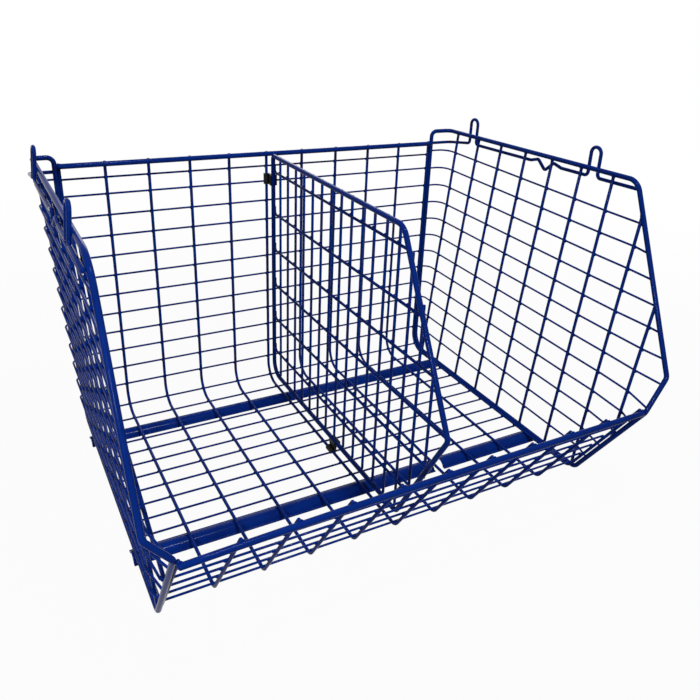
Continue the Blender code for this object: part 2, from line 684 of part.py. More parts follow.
def basket_body(collection, root):
    """Back, floor and lip with their rails and floor channels."""
    places = [index * BENT_WIRE_PITCH - GRID_HALF_WIDTH for index in range(BENT_WIRE_COUNT)]
    numbered("bent_wire", [bent_wire_path(x) for x in places], BENT_WIRE, WIRE_SIDES, collection, root)
    numbered("back_cross_wire", back_cross_paths(), THIN_WIRE, THIN_SIDES, collection, root)
    numbered("floor_cross_wire", floor_cross_paths(), THIN_WIRE, THIN_SIDES, collection, root)
    numbered("lip_cross_wire", lip_cross_paths(), THIN_WIRE, THIN_SIDES, collection, root)
    wires("back_rail", [back_rail_path()], RAIL_ROD, ROD_SIDES, collection, root)
    wires("front_rail", [front_rail_path()], RAIL_ROD, ROD_SIDES, collection, root)
    half = CHANNEL_HALF_LENGTH
    channel("rear_channel", -half, half, REAR_CHANNEL_PLACE, collection, root)
    channel("front_channel_long", -half, FRONT_CHANNEL_BREAK, FRONT_CHANNEL_PLACE, collection, root)
    restart = FRONT_CHANNEL_BREAK + FRONT_CHANNEL_BREAK_WIDTH
    channel("front_channel_short", restart, half, FRONT_CHANNEL_PLACE, collection, root)


def stand_on_origin(collection, root):
    """Moves the basket so that the centre of its underside is the origin."""
    bpy.context.view_layer.update()
    graph = bpy.context.evaluated_depsgraph_get()
    places = []
    for item in collection.objects:
        if item.type != "EMPTY":
            shape = item.evaluated_get(graph)
            places += [shape.matrix_world @ vertex.co for vertex in shape.to_mesh().vertices]
            shape.to_mesh_clear()
    low = Vector([min(place[axis] for place in places) for axis in range(3)])
    high = Vector([max(place[axis] for place in places) for axis in range(3)])
    root.location = (-(low.x + high.x) / 2, -(low.y + high.y) / 2, -low.z)
    bpy.context.view_layer.update()
    print("basket size (mm):", [round(value / MM, 2) for value in high - low])
    print("design frame moved by (mm):", [round(value / MM, 3) for value in root.location])


def main():
    """Builds the basket."""
    clear_scene()
    collection = bpy.data.collections.new("wire_storage_basket")
    tools = bpy.data.collections.new("welded_in_wires")
    for owner in (collection, tools):
        bpy.context.scene.collection.children.link(owner)
    basket_root = bpy.data.objects.new("basket_origin", None)
    divider_root = bpy.data.objects.new("divider_origin", None)
    for empty in (basket_root, divider_root):
        collection.objects.link(empty)
    divider_root.parent = basket_root
    basket_body(collection, basket_root)
    for side in (LEFT_SIDE, RIGHT_SIDE):
        side_panel(side, collection, tools, basket_root)
    clips(collection, basket_root)
    divider(collection, tools, divider_root)
    stand_on_origin(collection, basket_root)


main()
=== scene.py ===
"""Looks of the wire storage basket: coated wires, weld drops, channels, finishes, light and camera.

Places are worked out in the basket's design frame (X right, Y to the back, Z up; the middle bent
wire at X = 0, the back wires' axes at Y = 0, the floor wires' axes at Z = 0) and moved to the frame
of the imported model, whose rear channel says where that design frame lies.
"""

from __future__ import annotations

import logging
import math
from dataclasses import dataclass
from enum import Enum

import bpy
import numpy as np
from mathutils import Matrix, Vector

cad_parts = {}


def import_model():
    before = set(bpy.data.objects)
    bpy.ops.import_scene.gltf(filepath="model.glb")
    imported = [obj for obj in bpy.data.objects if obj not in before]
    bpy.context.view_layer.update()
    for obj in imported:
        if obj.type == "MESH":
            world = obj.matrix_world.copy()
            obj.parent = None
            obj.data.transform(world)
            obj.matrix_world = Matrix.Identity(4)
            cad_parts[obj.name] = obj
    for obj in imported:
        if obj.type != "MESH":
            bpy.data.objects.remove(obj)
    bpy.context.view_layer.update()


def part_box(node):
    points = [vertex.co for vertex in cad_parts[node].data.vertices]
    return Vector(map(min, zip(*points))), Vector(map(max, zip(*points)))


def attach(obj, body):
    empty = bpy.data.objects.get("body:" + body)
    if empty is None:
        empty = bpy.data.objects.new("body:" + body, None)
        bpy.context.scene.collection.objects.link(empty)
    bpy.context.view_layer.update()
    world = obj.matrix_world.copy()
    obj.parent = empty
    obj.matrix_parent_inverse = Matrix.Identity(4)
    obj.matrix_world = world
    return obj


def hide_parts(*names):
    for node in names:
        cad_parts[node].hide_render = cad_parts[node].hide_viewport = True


LOG = logging.getLogger("wire_basket")
MM = 0.001


class Body(Enum):
    """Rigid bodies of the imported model."""

    BASKET = "basket"
    DIVIDER = "divider"


class Slot(Enum):
    """Material slots of the record."""

    COATING = "blue_coating"
    PLASTIC = "clip_plastic"


@dataclass(frozen=True)
class Gauges:
    """Diameters over the coating, and how far crossing wires sink into each other at a weld."""

    bent: float = 3.7 * MM
    thin: float = 2.45 * MM
    frame: float = 5.6 * MM
    rail: float = 6.1 * MM
    stacking: float = 4.15 * MM
    divider_rod: float = 5.6 * MM
    divider_wire: float = 3.2 * MM
    sink: float = 0.25 * MM

    def across(self, one: float, other: float) -> float:
        """Distance between the axes of two wires welded across each other."""
        return (one + other) / 2 - self.sink

    @property
    def frame_inset(self) -> float:
        """How far a side frame's axis lies inside the bent wires' axes: both touch the thin wires."""
        return (self.frame - self.bent) / 2


GAUGES = Gauges()
GRID_HALF_WIDTH = 250.0 * MM
FRAME_X = GRID_HALF_WIDTH + GAUGES.across(GAUGES.frame, GAUGES.bent)

# Directions of the design frame
RIGHTWARD = np.array([1.0, 0.0, 0.0])
REARWARD = np.array([0.0, 1.0, 0.0])
UPWARD = np.array([0.0, 0.0, 1.0])

# Facets round a wire, more for a thicker one, and steps along its bends
THIN_SIDES = 14
WIRE_SIDES = 16
STACKING_SIDES = 20
ROD_SIDES = 24
BEND_STEPS = 10
LOOP_STEPS = 12
KNEE_STEPS = 14

# Legs whose half turn is under this angle, in radians, meet without a bend
STRAIGHT = 1e-4

# Rounded end of a wire: angles of its rings, and its depth as a share of the diameter
END_ANGLES = np.radians([15.0, 40.0, 65.0, 90.0])
END_DEPTH = 0.3

# Drop of coating at a weld: tilts of its rings and facets round it
DROP_TILTS = np.radians([-68.0, -34.0, 0.0, 34.0, 68.0])
DROP_SIDES = 10

# Half sizes of a drop along the first wire, along the second wire and square to both
CROSSING_DROP = (2.5 * MM, 2.9 * MM, 1.25 * MM)
RAIL_DROP = (3.2 * MM, 3.2 * MM, 1.3 * MM)
END_DROP = (2.6 * MM, 2.7 * MM, 2.3 * MM)
END_DROP_INSET = 2.2 * MM
DIVIDER_DROP = (2.7 * MM, 2.7 * MM, 1.2 * MM)

# Edges of a bar that turn by more than this stay sharp
CREASE_ANGLE = math.radians(40.0)


def srgb(hex_colour: str) -> tuple[float, float, float, float]:
    """Turns an sRGB hex colour into linear values.

    Args:
        hex_colour: Colour as "#rrggbb".

    Returns:
        Linear red, green, blue and an alpha of one.
    """
    parts = np.array([int(hex_colour[i:i + 2], 16) for i in (1, 3, 5)]) / 255.0
    linear = np.where(parts <= 0.04045, parts / 12.92, ((parts + 0.055) / 1.055) ** 2.4)
    return (*[float(value) for value in linear], 1.0)


def add_node(tree: bpy.types.NodeTree, kind: str, settings: dict | None = None,
             links: dict | None = None) -> bpy.types.Node:
    """Adds a shader node.

    Args:
        tree: Node tree that takes the node.
        kind: Blender's name of the node type.
        settings: Attribute or input socket (by name or number) to value.
        links: Input socket (by name or number) to the output socket that feeds it.

    Returns:
        The new node.
    """
    made = tree.nodes.new(kind)
    for key, value in (settings or {}).items():
        if isinstance(key, str) and hasattr(made, key):
            setattr(made, key, value)
        else:
            made.inputs[key].default_value = value
    for key, source in (links or {}).items():
        tree.links.new(source, made.inputs[key])
    return made


def principled(name: str, roughness: float,
               specular: float) -> tuple[bpy.types.Material, bpy.types.Node]:
    """Starts a Principled material and returns it with its shader node."""
    material = bpy.data.materials.new(name)
    material.use_nodes = True
    shader = material.node_tree.nodes["Principled BSDF"]
    shader.inputs["Roughness"].default_value = roughness
    shader.inputs["Specular IOR Level"].default_value = specular
    return material, shader


def tinted(tree: bpy.types.NodeTree, share: bpy.types.NodeSocket, low: str,
           high: str) -> bpy.types.NodeSocket:
    """Mixes two sRGB hex colours by a share and returns the colour's socket."""
    colours = {"data_type": "RGBA", 6: srgb(low), 7: srgb(high)}
    mix = add_node(tree, "ShaderNodeMix", colours, {0: share})
    return mix.outputs[2]


def seen_share(tree: bpy.types.NodeTree) -> bpy.types.NodeSocket:
    """One for rays from the camera, from gloss and through glass, zero for light on matt surfaces."""
    path = add_node(tree, "ShaderNodeLightPath")
    direct = add_node(tree, "ShaderNodeMath", {"operation": "MAXIMUM"},
                      {0: path.outputs["Is Camera Ray"], 1: path.outputs["Is Glossy Ray"]})
    shown = add_node(tree, "ShaderNodeMath", {"operation": "MAXIMUM"},
                     {0: direct.outputs[0], 1: path.outputs["Is Transmission Ray"]})
    return shown.outputs[0]


@dataclass(frozen=True)
class DipCoating:
    """Dipped blue nylon on steel wire: a thick glossy skin, deep cobalt where it is lit, navy in shade.

    Its colour shifts a little with its thickness, and a faint ripple breaks up its long highlights.
    Its specular level is far below nylon's, because the white studio would turn thin wires grey.
    """

    name: str = "dipped_blue_nylon"
    deep: str = "#031b60"
    pale: str = "#072c80"
    roughness: float = 0.12
    specular: float = 0.02
    patch_size: float = 34.0 * MM
    ripple_size: float = 2.6 * MM
    ripple_depth: float = 0.05 * MM
    ripple_strength: float = 0.5

    def build(self) -> bpy.types.Material:
        """Makes the material."""
        material, shader = principled(self.name, self.roughness, self.specular)
        tree = material.node_tree
        place = add_node(tree, "ShaderNodeTexCoord").outputs["Object"]
        patches = add_node(tree, "ShaderNodeTexNoise", {"Scale": 1.0 / self.patch_size},
                           {"Vector": place})
        tint = tinted(tree, patches.outputs["Fac"], self.deep, self.pale)
        tree.links.new(tint, shader.inputs["Base Color"])
        ripple = add_node(tree, "ShaderNodeTexNoise", {"Scale": 1.0 / self.ripple_size},
                          {"Vector": place})
        relief = {"Strength": self.ripple_strength, "Distance": self.ripple_depth}
        bump = add_node(tree, "ShaderNodeBump", relief, {"Height": ripple.outputs["Fac"]})
        tree.links.new(bump.outputs["Normal"], shader.inputs["Normal"])
        return material


@dataclass(frozen=True)
class MouldedPlastic:
    """Injection-moulded black plastic of the clips: satin, with a grain that breaks up its highlights."""

    name: str = "moulded_black_plastic"
    colour: str = "#08080a"
    lighter: str = "#121216"
    roughness: float = 0.5
    specular: float = 0.12
    grain_size: float = 0.8 * MM
    grain_depth: float = 0.03 * MM
    grain_strength: float = 0.3

    def build(self) -> bpy.types.Material:
        """Makes the material."""
        material, shader = principled(self.name, self.roughness, self.specular)
        tree = material.node_tree
        place = add_node(tree, "ShaderNodeTexCoord").outputs["Object"]
        grain = add_node(tree, "ShaderNodeTexNoise", {"Scale": 1.0 / self.grain_size},
                         {"Vector": place})
        tint = tinted(tree, grain.outputs["Fac"], self.colour, self.lighter)
        tree.links.new(tint, shader.inputs["Base Color"])
        relief = {"Strength": self.grain_strength, "Distance": self.grain_depth}
        bump = add_node(tree, "ShaderNodeBump", relief, {"Height": grain.outputs["Fac"]})
        tree.links.new(bump.outputs["Normal"], shader.inputs["Normal"])
        return material


@dataclass(frozen=True)
class PaleSweep:
    """Matt white paper under the basket: white to the eye, with a soft shadow that fades out."""

    name: str = "matt_white_paper"
    colour: str = "#8c8c8c"
    glow: float = 0.96
    fade_start: float = 500.0 * MM
    fade_end: float = 1500.0 * MM

    def build(self) -> bpy.types.Material:
        """Makes the material: far from the basket it is as white as the studio beyond it."""
        material = bpy.data.materials.new(self.name)
        material.use_nodes = True
        tree = material.node_tree
        tree.nodes.clear()
        matt = add_node(tree, "ShaderNodeBsdfDiffuse", {"Color": srgb(self.colour)})
        light = add_node(tree, "ShaderNodeEmission", {"Color": srgb("#ffffff"), "Strength": 1.0})
        place = add_node(tree, "ShaderNodeTexCoord").outputs["Object"]
        away = add_node(tree, "ShaderNodeVectorMath", {"operation": "LENGTH"}, {0: place})
        fade = {"From Min": self.fade_start, "From Max": self.fade_end, "To Min": self.glow, "To Max": 1.0}
        white = add_node(tree, "ShaderNodeMapRange", fade, {"Value": away.outputs["Value"]})
        share = add_node(tree, "ShaderNodeMath", {"operation": "MULTIPLY"},
                         {0: white.outputs["Result"], 1: seen_share(tree)})
        blend = add_node(tree, "ShaderNodeMixShader", links={
            0: share.outputs[0], 1: matt.outputs["BSDF"], 2: light.outputs["Emission"]})
        add_node(tree, "ShaderNodeOutputMaterial", links={"Surface": blend.outputs["Shader"]})
        return material


def unit(vectors: np.ndarray) -> np.ndarray:
    """Scales vectors to a length of one."""
    return vectors / np.linalg.norm(vectors, axis=-1, keepdims=True)


def between(start: float, end: float, share: float) -> float:
    """A value part of the way from start to end."""
    return start + (end - start) * share


def bend(before: np.ndarray, corner: np.ndarray, after: np.ndarray, radius: float,
         steps: int) -> np.ndarray:
    """Points of the round bend that replaces a corner: an arc that touches both legs.

    Args:
        before: Corner before this one.
        corner: The corner.
        after: Corner after this one.
        radius: Radius of the bend, no bend if it is zero.
        steps: Steps along the arc.

    Returns:
        Points of the arc, or the corner itself.
    """
    to_start = unit(before - corner)
    to_end = unit(after - corner)
    half = math.acos(float(np.clip(to_start @ to_end, -1.0, 1.0))) / 2
    if radius <= 0.0 or math.pi / 2 - half < STRAIGHT:
        return corner[None, :]
    centre = corner + unit(to_start + to_end) * (radius / math.sin(half))
    first = corner + to_start * radius / math.tan(half) - centre
    last = corner + to_end * radius / math.tan(half) - centre
    turn = math.pi - 2 * half
    share = np.linspace(0.0, 1.0, steps + 1)[:, None]
    return centre + (first * np.sin((1 - share) * turn) + last * np.sin(share * turn)) / math.sin(turn)


def bent_path(corners: list, radii: list[float], closed: bool = False,
              steps: int = BEND_STEPS) -> np.ndarray:
    """Turns corners into a wire's axis: each corner becomes a bend of its own radius.

    Args:
        corners: Points where the straight legs would meet.
        radii: Bend radius at each corner; ends of an open wire have none.
        closed: True if the last leg runs back to the first corner.
        steps: Steps along each bend.

    Returns:
        Points along the axis.
    """
    points = [np.asarray(corner, dtype=float) for corner in corners]
    count = len(points)
    path = []
    for index, corner in enumerate(points):
        if not closed and index in (0, count - 1):
            path.append(corner[None, :])
        else:
            after = points[(index + 1) % count]
            path.append(bend(points[index - 1], corner, after, radii[index], steps))
    return np.concatenate(path)


def ring_faces(rings: int, sides: int, closed: bool) -> np.ndarray:
    """Quads between neighbouring rings of a swept surface."""
    ring = np.arange(rings if closed else rings - 1)[:, None]
    side = np.arange(sides)[None, :]
    after = (ring + 1) % rings
    turn = (side + 1) % sides
    corners = [ring * sides + side, ring * sides + turn, after * sides + turn, after * sides + side]
    return np.stack(corners, axis=-1).reshape(-1, 4)


def square_axes(along: np.ndarray) -> tuple[np.ndarray, np.ndarray]:
    """Two directions square to each tangent, from the reference that is farthest from all of them."""
    straight = [(1, 0, 0), (0, 1, 0), (0, 0, 1)]
    slanted = [(1, 1, 1), (1, -1, 1), (1, 1, -1), (-1, 1, 1)]
    choices = unit(np.array(straight + slanted, dtype=float))
    reference = choices[np.argmin(np.abs(along @ choices.T).max(axis=0))]
    one = unit(np.cross(along, reference))
    return one, np.cross(along, one)


class Draft:
    """Vertices and faces of one piece, gathered from several closed surfaces."""

    def __init__(self) -> None:
        """Starts an empty piece."""
        self._points: list[np.ndarray] = []
        self._faces: list[list[int]] = []
        self._total = 0

    def add(self, points: np.ndarray, *faces: np.ndarray) -> None:
        """Adds one closed surface.

        Args:
            points: Vertices, one row each.
            faces: Arrays of vertex numbers, one row for each face.
        """
        for group in faces:
            self._faces += (group + self._total).tolist()
        self._points.append(points)
        self._total += len(points)

    def wire(self, path: np.ndarray, diameter: float, sides: int = WIRE_SIDES,
             closed: bool = False) -> None:
        """Adds a round wire.

        Formula: a point is the axis at parameter u, plus the radius times (cos v, sin v) in the plane
        square to the axis there; at an open wire's ends the radius falls like a quarter ellipse.

        Args:
            path: Points along the axis.
            diameter: Diameter over the coating.
            sides: Facets round the wire.
            closed: True if the wire runs back into itself.
        """
        radius = np.full(len(path), diameter / 2)
        if closed:
            along = unit(np.roll(path, -1, axis=0) - np.roll(path, 1, axis=0))
        else:
            head = unit(path[1] - path[0])
            tail = unit(path[-1] - path[-2])
            rise = END_DEPTH * diameter * (1 - np.sin(np.pi / 2 - END_ANGLES))[:, None]
            dome = diameter / 2 * np.sin(END_ANGLES)
            path = np.concatenate([path[0] + head * rise, path[1:-1], (path[-1] - tail * rise)[::-1]])
            radius = np.concatenate([dome, radius[1:-1], dome[::-1]])
            along = unit(np.gradient(path, axis=0))
        one, other = square_axes(along)
        angle = np.linspace(0.0, 2 * np.pi, sides, endpoint=False)[None, :, None]
        spokes = np.cos(angle) * one[:, None, :] + np.sin(angle) * other[:, None, :]
        points = (path[:, None, :] + radius[:, None, None] * spokes).reshape(-1, 3)
        faces = [ring_faces(len(path), sides, closed)]
        if not closed:
            ring = np.arange(sides)
            faces += [ring[None, ::-1], (ring + (len(path) - 1) * sides)[None, :]]
        self.add(points, *faces)

    def extrusion(self, outline: np.ndarray, start: np.ndarray, end: np.ndarray) -> None:
        """Adds a bar of constant section.

        Formula: a point is the section's outline at parameter v, carried straight from start to end.

        Args:
            outline: Points of the section round its edge, in space, anticlockwise seen from the end.
            start: Shift of the section at the start.
            end: Shift of the section at the end.
        """
        points = np.concatenate([outline + start, outline + end])
        count = len(outline)
        ring = np.arange(count)
        self.add(points, ring_faces(2, count, False), ring[None, ::-1], (ring + count)[None, :])

    def beads(self, centres: np.ndarray, axes: np.ndarray, size: np.ndarray) -> None:
        """Adds drops of coating that fill the corners of welds.

        Formula: each drop is an ellipsoid, a unit sphere (cos a cos b, cos a sin b, sin a) stretched by
        three half sizes along three directions, with flat poles.

        Args:
            centres: Middle of each drop.
            axes: For each drop, three unit directions as rows.
            size: Half size along each of the three directions.
        """
        tilt = DROP_TILTS[:, None]
        turn = np.linspace(0.0, 2 * np.pi, DROP_SIDES, endpoint=False)[None, :]
        ball = np.stack([np.cos(tilt) * np.cos(turn), np.cos(tilt) * np.sin(turn),
                         np.sin(tilt) + 0 * turn], axis=-1).reshape(-1, 3)
        points = centres[:, None, :] + np.einsum("pk,nkj->npj", ball * size, axes)
        step = (np.arange(len(centres)) * len(ball))[:, None, None]
        quads = ring_faces(len(DROP_TILTS), DROP_SIDES, False) + step
        ring = np.arange(DROP_SIDES)
        caps = np.stack([ring[::-1], ring + len(ball) - DROP_SIDES]) + step
        self.add(points.reshape(-1, 3), quads.reshape(-1, 4), caps.reshape(-1, DROP_SIDES))

    def mirrored(self) -> "Draft":
        """The same piece on the other side of the basket, its faces turned outward again."""
        copy = Draft()
        copy._points = [points * (-1.0, 1.0, 1.0) for points in self._points]
        copy._faces = [face[::-1] for face in self._faces]
        copy._total = self._total
        return copy

    def mesh(self, name: str, shift: np.ndarray) -> bpy.types.Object:
        """Makes the object, smooth-shaded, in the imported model's frame."""
        data = bpy.data.meshes.new(name)
        data.from_pydata((np.concatenate(self._points) + shift).tolist(), [], self._faces)
        data.polygons.foreach_set("use_smooth", np.ones(len(data.polygons), dtype=bool))
        data.validate()
        made = bpy.data.objects.new(name, data)
        bpy.context.scene.collection.objects.link(made)
        return made


class Workshop:
    """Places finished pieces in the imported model's frame."""

    def __init__(self) -> None:
        """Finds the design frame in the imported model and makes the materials."""
        low, high = (np.array(corner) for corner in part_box("rear_channel"))
        middle = (low + high) / 2
        channels = FloorChannels()
        foot = channels.height - channels.top
        self.shift = np.array([middle[0], middle[1] + channels.rear_place, low[2] + foot])
        self.coating = DipCoating().build()
        self.plastic = MouldedPlastic().build()

    def place(self, name: str, draft: Draft, body: Body, nodes: list[str], smooth: bool = True) -> None:
        """Turns a draft into a coated piece that rides on a body and stands for CAD nodes.

        Args:
            name: Name of the piece.
            draft: Its surfaces in the design frame.
            body: Body that it moves with.
            nodes: CAD nodes that it stands for, if any.
            smooth: False for a bar with sharp edges.
        """
        made = draft.mesh(name, self.shift)
        if not smooth:
            made.data.set_sharp_from_angle(angle=CREASE_ANGLE)
        made.data.materials.append(self.coating)
        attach(made, body.value)
        if nodes:
            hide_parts(*nodes)
        LOG.info("%s: %d faces", name, len(made.data.polygons))


def weld_beads(draft: Draft, centres: list, along: np.ndarray, across: np.ndarray, size: tuple) -> None:
    """Adds equal drops of coating whose wires run in two fixed directions.

    Args:
        draft: Piece that takes the drops.
        centres: Points where the wires touch.
        along: Direction of the first wire.
        across: Direction of the second wire.
        size: Half sizes along the first wire, the second wire and square to both.
    """
    frame = np.stack([unit(along), unit(across), unit(np.cross(along, across))])
    places = np.asarray(centres, dtype=float)
    draft.beads(places, np.broadcast_to(frame, (len(places), 3, 3)), np.asarray(size))


@dataclass(frozen=True)
class WireGrid:
    """Bent wires that make back, floor and lip, with the thin wires and the two rails across them."""

    count: int = 11
    pitch: float = 50.0 * MM
    tip_height: float = 329.8 * MM
    floor_front: float = 361.5 * MM
    rear_radius: float = 26.0 * MM
    front_radius: float = 12.0 * MM
    lip_rise: float = 125.9 * MM
    lip_reach: float = 81.8 * MM
    lip_tip: float = 0.6 * MM
    lip_sag: float = 4.5 * MM
    overhang: float = 2.0 * MM
    back_top_rows: tuple[float, float] = (310.0 * MM, 290.0 * MM)
    back_row_pitch: float = 25.75 * MM
    back_row_count: int = 10
    floor_rear_row: float = 29.5 * MM
    floor_first_row: float = 81.7 * MM
    floor_row_pitch: float = 25.35 * MM
    floor_row_count: int = 8
    lip_first_row: float = 5.5 * MM
    lip_row_pitch: float = 24.5 * MM
    lip_row_count: int = 5
    back_rail_height: float = 327.0 * MM
    rail_end: float = 251.75 * MM
    rail_steps: int = 25

    @property
    def places(self) -> np.ndarray:
        """Places of the bent wires across the basket."""
        return (np.arange(self.count) - (self.count - 1) / 2) * self.pitch

    @property
    def lip_length(self) -> float:
        """Length of the lip from its foot to the front rail."""
        return math.hypot(self.lip_rise, self.lip_reach)

    @property
    def lip_up(self) -> np.ndarray:
        """Direction up the lip."""
        return np.array([0.0, -self.lip_reach, self.lip_rise]) / self.lip_length

    @property
    def lip_out(self) -> np.ndarray:
        """Direction out of the lip, to the front and down."""
        return np.array([0.0, -self.lip_rise, -self.lip_reach]) / self.lip_length

    def lip_point(self, x: float, along: float, outward: float = 0.0) -> np.ndarray:
        """A point on the lip: distance up from its foot and distance out of its plane."""
        return np.array([x, -self.floor_front, 0.0]) + self.lip_up * along + self.lip_out * outward

    def sag(self, x: float | np.ndarray) -> np.ndarray:
        """Shift of the lip's top at a place: pushed down at the left end, not at all on the right."""
        return self.lip_sag * (np.minimum(x, 0.0) / GRID_HALF_WIDTH) ** 2 * -UPWARD

    def bent_wires(self) -> Draft:
        """The eleven bent wires."""
        draft = Draft()
        radii = [0.0, self.rear_radius, self.front_radius, 0.0]
        for x in self.places:
            corners = [
                (x, 0.0, self.tip_height),
                (x, 0.0, 0.0),
                (x, -self.floor_front, 0.0),
                self.lip_point(x, self.lip_length + self.lip_tip) + self.sag(x),
            ]
            draft.wire(bent_path(corners, radii, steps=KNEE_STEPS), GAUGES.bent)
        return draft

    def rows(self) -> dict[str, list[tuple[np.ndarray, np.ndarray, np.ndarray]]]:
        """Rows of thin wires by panel: axis point, direction of the bent wires, direction to them."""
        apart = GAUGES.across(GAUGES.bent, GAUGES.thin)
        up = UPWARD
        back = REARWARD
        heights = list(self.back_top_rows)
        for row in range(self.back_row_count):
            heights.append(self.back_top_rows[1] - self.back_row_pitch * (row + 1))
        rear = [(back * apart + up * z, up, -back) for z in heights]
        out = unit(back - up)
        knee = np.array([0.0, -self.rear_radius, self.rear_radius])
        rear.append((knee + out * (self.rear_radius + apart), unit(back + up), -out))
        depths = [self.floor_rear_row]
        for row in range(self.floor_row_count):
            depths.append(self.floor_first_row + self.floor_row_pitch * row)
        floor = [(-back * place - up * apart, back, up) for place in depths]
        climbs = [self.lip_first_row + self.lip_row_pitch * row for row in range(self.lip_row_count)]
        lip = [(self.lip_point(0.0, along, -apart), self.lip_up, self.lip_out) for along in climbs]
        return {"back": rear, "floor": floor, "lip": lip}

    def build(self, shop: Workshop) -> None:
        """Places the wires, the rails and the drops of coating at their welds."""
        numbers = [f"bent_wire_{number:02d}" for number in range(1, self.count + 1)]
        shop.place("bent_wires", self.bent_wires(), Body.BASKET, numbers)
        across = RIGHTWARD
        for panel, rows in self.rows().items():
            end = across * (GRID_HALF_WIDTH + (GAUGES.bent / 2 if panel == "lip" else self.overhang))
            wires = Draft()
            welds = Draft()
            for point, along, inward in rows:
                wires.wire(np.stack([point - end, point + end]), GAUGES.thin, THIN_SIDES)
                touch = point + inward * (GAUGES.thin / 2 - GAUGES.sink / 2)
                weld_beads(welds, touch + self.places[:, None] * across, along, across, CROSSING_DROP)
            names = [f"{panel}_cross_wire_{number:02d}" for number in range(1, len(rows) + 1)]
            shop.place(f"{panel}_cross_wires", wires, Body.BASKET, names)
            shop.place(f"{panel}_weld_coating", welds, Body.BASKET, [])
        self.rails(shop)

    def rails(self, shop: Workshop) -> None:
        """Places the rail before the back wires' tips and the rail outside the lip."""
        apart = GAUGES.across(GAUGES.bent, GAUGES.rail)
        across = RIGHTWARD
        forward = -REARWARD
        rails = {
            "back": (forward * apart + UPWARD * self.back_rail_height, forward, UPWARD),
            "front": (self.lip_point(0.0, self.lip_length, apart), self.lip_out, self.lip_up),
        }
        for name, (point, outward, along) in rails.items():
            draft = Draft()
            sunk = 1.0 if name == "front" else 0.0
            steps = np.linspace(-self.rail_end, self.rail_end, self.rail_steps)[:, None]
            draft.wire(point + steps * across + self.sag(steps) * sunk, GAUGES.rail, ROD_SIDES)
            places = self.places[:, None]
            touch = point - outward * (GAUGES.rail / 2) + places * across + self.sag(places) * sunk
            weld_beads(draft, touch, along, across, RAIL_DROP)
            shop.place(f"{name}_rail", draft, Body.BASKET, [f"{name}_rail"])


@dataclass(frozen=True)
class FloorChannels:
    """Pressed channels under the floor: an arched crown between two flat flanges."""

    crown: float = 19.0 * MM
    height: float = 7.0 * MM
    flange: float = 2.6 * MM
    sheet: float = 1.2 * MM
    half_length: float = 259.0 * MM
    top: float = -2.05 * MM
    rear_place: float = 53.5 * MM
    front_place: float = 279.5 * MM
    break_place: float = 101.0 * MM
    break_width: float = 13.0 * MM
    arch_points: int = 28

    def outline(self) -> np.ndarray:
        """Section of a channel in the depth and the height, its top at the origin."""
        half = self.crown / 2
        radius = (half * half + self.height * self.height) / (2 * self.height)
        inner = radius - self.sheet
        foot = math.asin((self.sheet - self.height + radius) / radius)
        inner_foot = math.asin((radius - self.height) / inner)
        edge = half + self.flange
        over = np.linspace(foot, math.pi - foot, self.arch_points)
        under = np.linspace(math.pi - inner_foot, inner_foot, self.arch_points)
        flats = np.array([(edge, -self.height), (edge, self.sheet - self.height)])
        arch = np.stack([radius * np.cos(over), radius * np.sin(over) - radius], axis=-1)
        hollow = np.stack([inner * np.cos(under), inner * np.sin(under) - radius], axis=-1)
        section = np.concatenate([flats, arch, (flats * (-1.0, 1.0))[::-1], hollow])
        return np.insert(section, 0, 0.0, axis=1)

    def build(self, shop: Workshop) -> None:
        """Places the three channels."""
        half = self.half_length
        spans = {
            "rear_channel": (self.rear_place, -half, half),
            "front_channel_long": (self.front_place, -half, self.break_place),
            "front_channel_short": (self.front_place, self.break_place + self.break_width, half),
        }
        for name, (place, left, right) in spans.items():
            draft = Draft()
            start, end = (np.array([x, -place, self.top]) for x in (left, right))
            draft.extrusion(self.outline(), start, end)
            shop.place(name, draft, Body.BASKET, [name], smooth=False)


